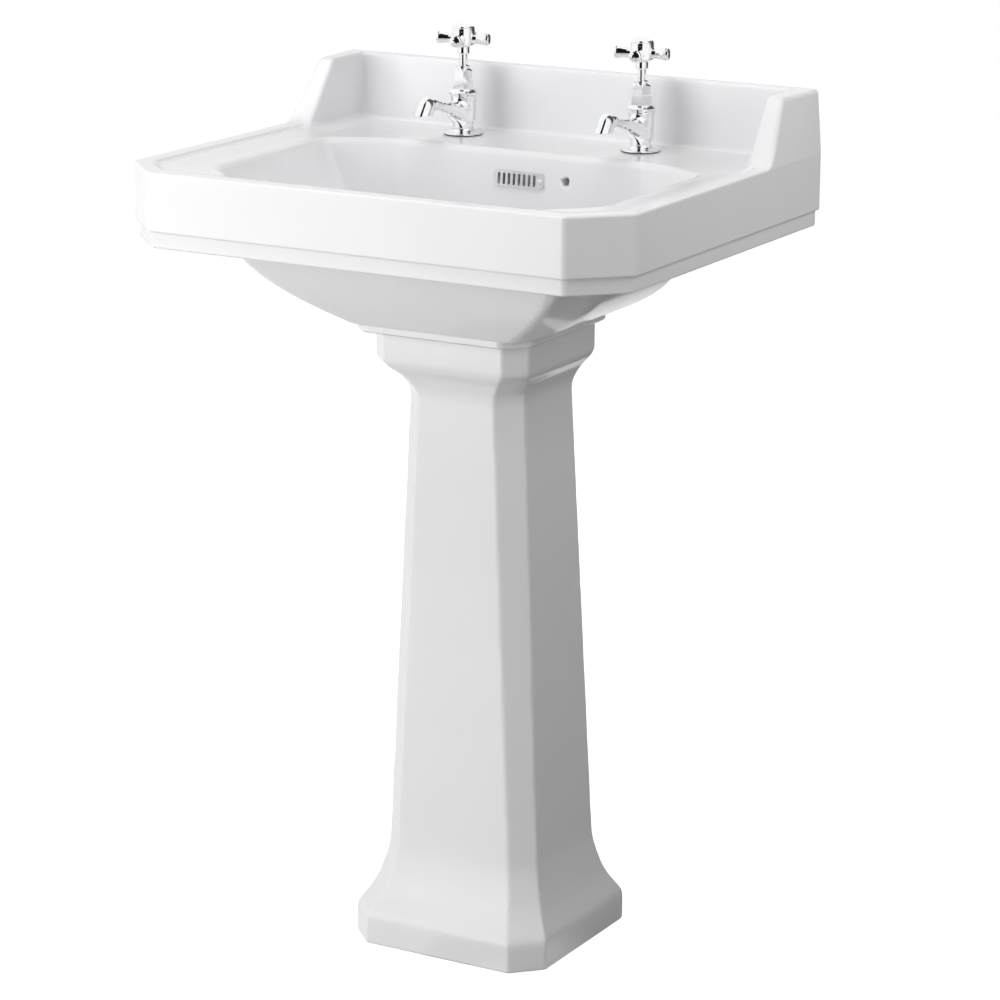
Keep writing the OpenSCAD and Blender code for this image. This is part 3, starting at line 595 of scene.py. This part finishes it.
def studio_tone(nodes, links, place):
    """Brightness of the studio that shiny surfaces mirror: white, dark in front and behind on the right."""
    parts = nodes.new("ShaderNodeSeparateXYZ")
    links.new(place, parts.inputs["Vector"])
    forth = maths(nodes, links, "MULTIPLY", parts.outputs["Y"], -1)
    azimuth = maths(nodes, links, "ARCTAN2", parts.outputs["X"], forth)
    soft = math.radians(DARK_SOFT)
    start, end = math.radians(DARK_FROM), math.radians(DARK_TO)
    left = remap(nodes, links, azimuth, start - soft, start + soft, 1, 0)
    right = remap(nodes, links, azimuth, end - soft, end + soft, 0, 1)
    sides = maths(nodes, links, "MAXIMUM", left.outputs["Result"], right.outputs["Result"])
    front = remap(nodes, links, sides, 0, 1, DARK_TONE, 1.0).outputs["Result"]
    back = remap(nodes, links, azimuth, math.radians(BACK_FROM), math.radians(BACK_TO), 1.0, BACK_TONE)
    return maths(nodes, links, "MINIMUM", front, back.outputs["Result"])


floor_mat, nodes, links = new_material("pale_floor")
p = nodes["Principled BSDF"]
grain = noise(nodes, links, 3, 4)
tone = nodes.new("ShaderNodeMix")
tone.data_type = "RGBA"
for socket, grey in zip(("A", "B"), FLOOR_TONES):
    tone.inputs[socket].default_value = (grey, grey, grey, 1)
links.new(grain.outputs["Fac"], tone.inputs["Factor"])
links.new(tone.outputs["Result"], p.inputs["Base Color"])
p.inputs["Roughness"].default_value = 0.9
p.inputs["Specular IOR Level"].default_value = 0.1
glow = nodes.new("ShaderNodeEmission")
glow.inputs["Color"].default_value = (1, 1, 1, 1)
glow.inputs["Strength"].default_value = FLOOR_GLOW
both = nodes.new("ShaderNodeAddShader")
links.new(p.outputs["BSDF"], both.inputs[0])
links.new(glow.outputs["Emission"], both.inputs[1])
sweep = nodes.new("ShaderNodeEmission")
place = nodes.new("ShaderNodeNewGeometry").outputs["Position"]
links.new(studio_tone(nodes, links, place), sweep.inputs["Strength"])
out = seen_by("Is Glossy Ray", nodes, links, sweep.outputs["Emission"], p.outputs["BSDF"])
out = seen_by("Is Camera Ray", nodes, links, both.outputs["Shader"], out)
links.new(out, nodes["Material Output"].inputs["Surface"])
floor = card("floor", (0, 0, 0), (0, 0, 1), 60, 60, floor_mat)

world = bpy.data.worlds.new("studio")
bpy.context.scene.world = world
world.use_nodes = True
nodes, links = world.node_tree.nodes, world.node_tree.links
room = nodes["Background"]
room.inputs["Color"].default_value = (1, 1, 1, 1)
room.inputs["Strength"].default_value = ROOM
white = nodes.new("ShaderNodeBackground")
white.inputs["Color"].default_value = (1, 1, 1, 1)
white.inputs["Strength"].default_value = 1.0
studio = nodes.new("ShaderNodeBackground")
studio.inputs["Color"].default_value = (1, 1, 1, 1)
way = nodes.new("ShaderNodeTexCoord").outputs["Generated"]
links.new(studio_tone(nodes, links, way), studio.inputs["Strength"])
mirrored = seen_by("Is Glossy Ray", nodes, links, studio.outputs["Background"], room.outputs["Background"])
out = seen_by("Is Camera Ray", nodes, links, white.outputs["Background"], mirrored)
links.new(out, nodes["World Output"].inputs["Surface"])

for name, azimuth, elevation, distance, height, side, power in LIGHTS:
    softbox(name, azimuth, elevation, distance, (0, 0, height), side, side, power)

cam_data = bpy.data.cameras.new("camera")
cam = bpy.data.objects.new("camera", cam_data)
bpy.context.scene.collection.objects.link(cam)
bpy.context.scene.camera = cam
cam_data.lens = CAMERA_LENS
cam_data.sensor_width = 36
cam_data.clip_start, cam_data.clip_end = 0.1, 100
right = Vector(CAMERA_RIGHT).normalized()
forward = Vector(CAMERA_FORWARD).normalized()
forward = (forward - right * forward.dot(right)).normalized()
up = right.cross(forward)
cam.matrix_world = Matrix((
    (right.x, up.x, -forward.x, CAMERA_AT[0]),
    (right.y, up.y, -forward.y, CAMERA_AT[1]),
    (right.z, up.z, -forward.z, CAMERA_AT[2]),
    (0, 0, 0, 1),
))
bpy.context.scene.view_settings.view_transform = "Standard"
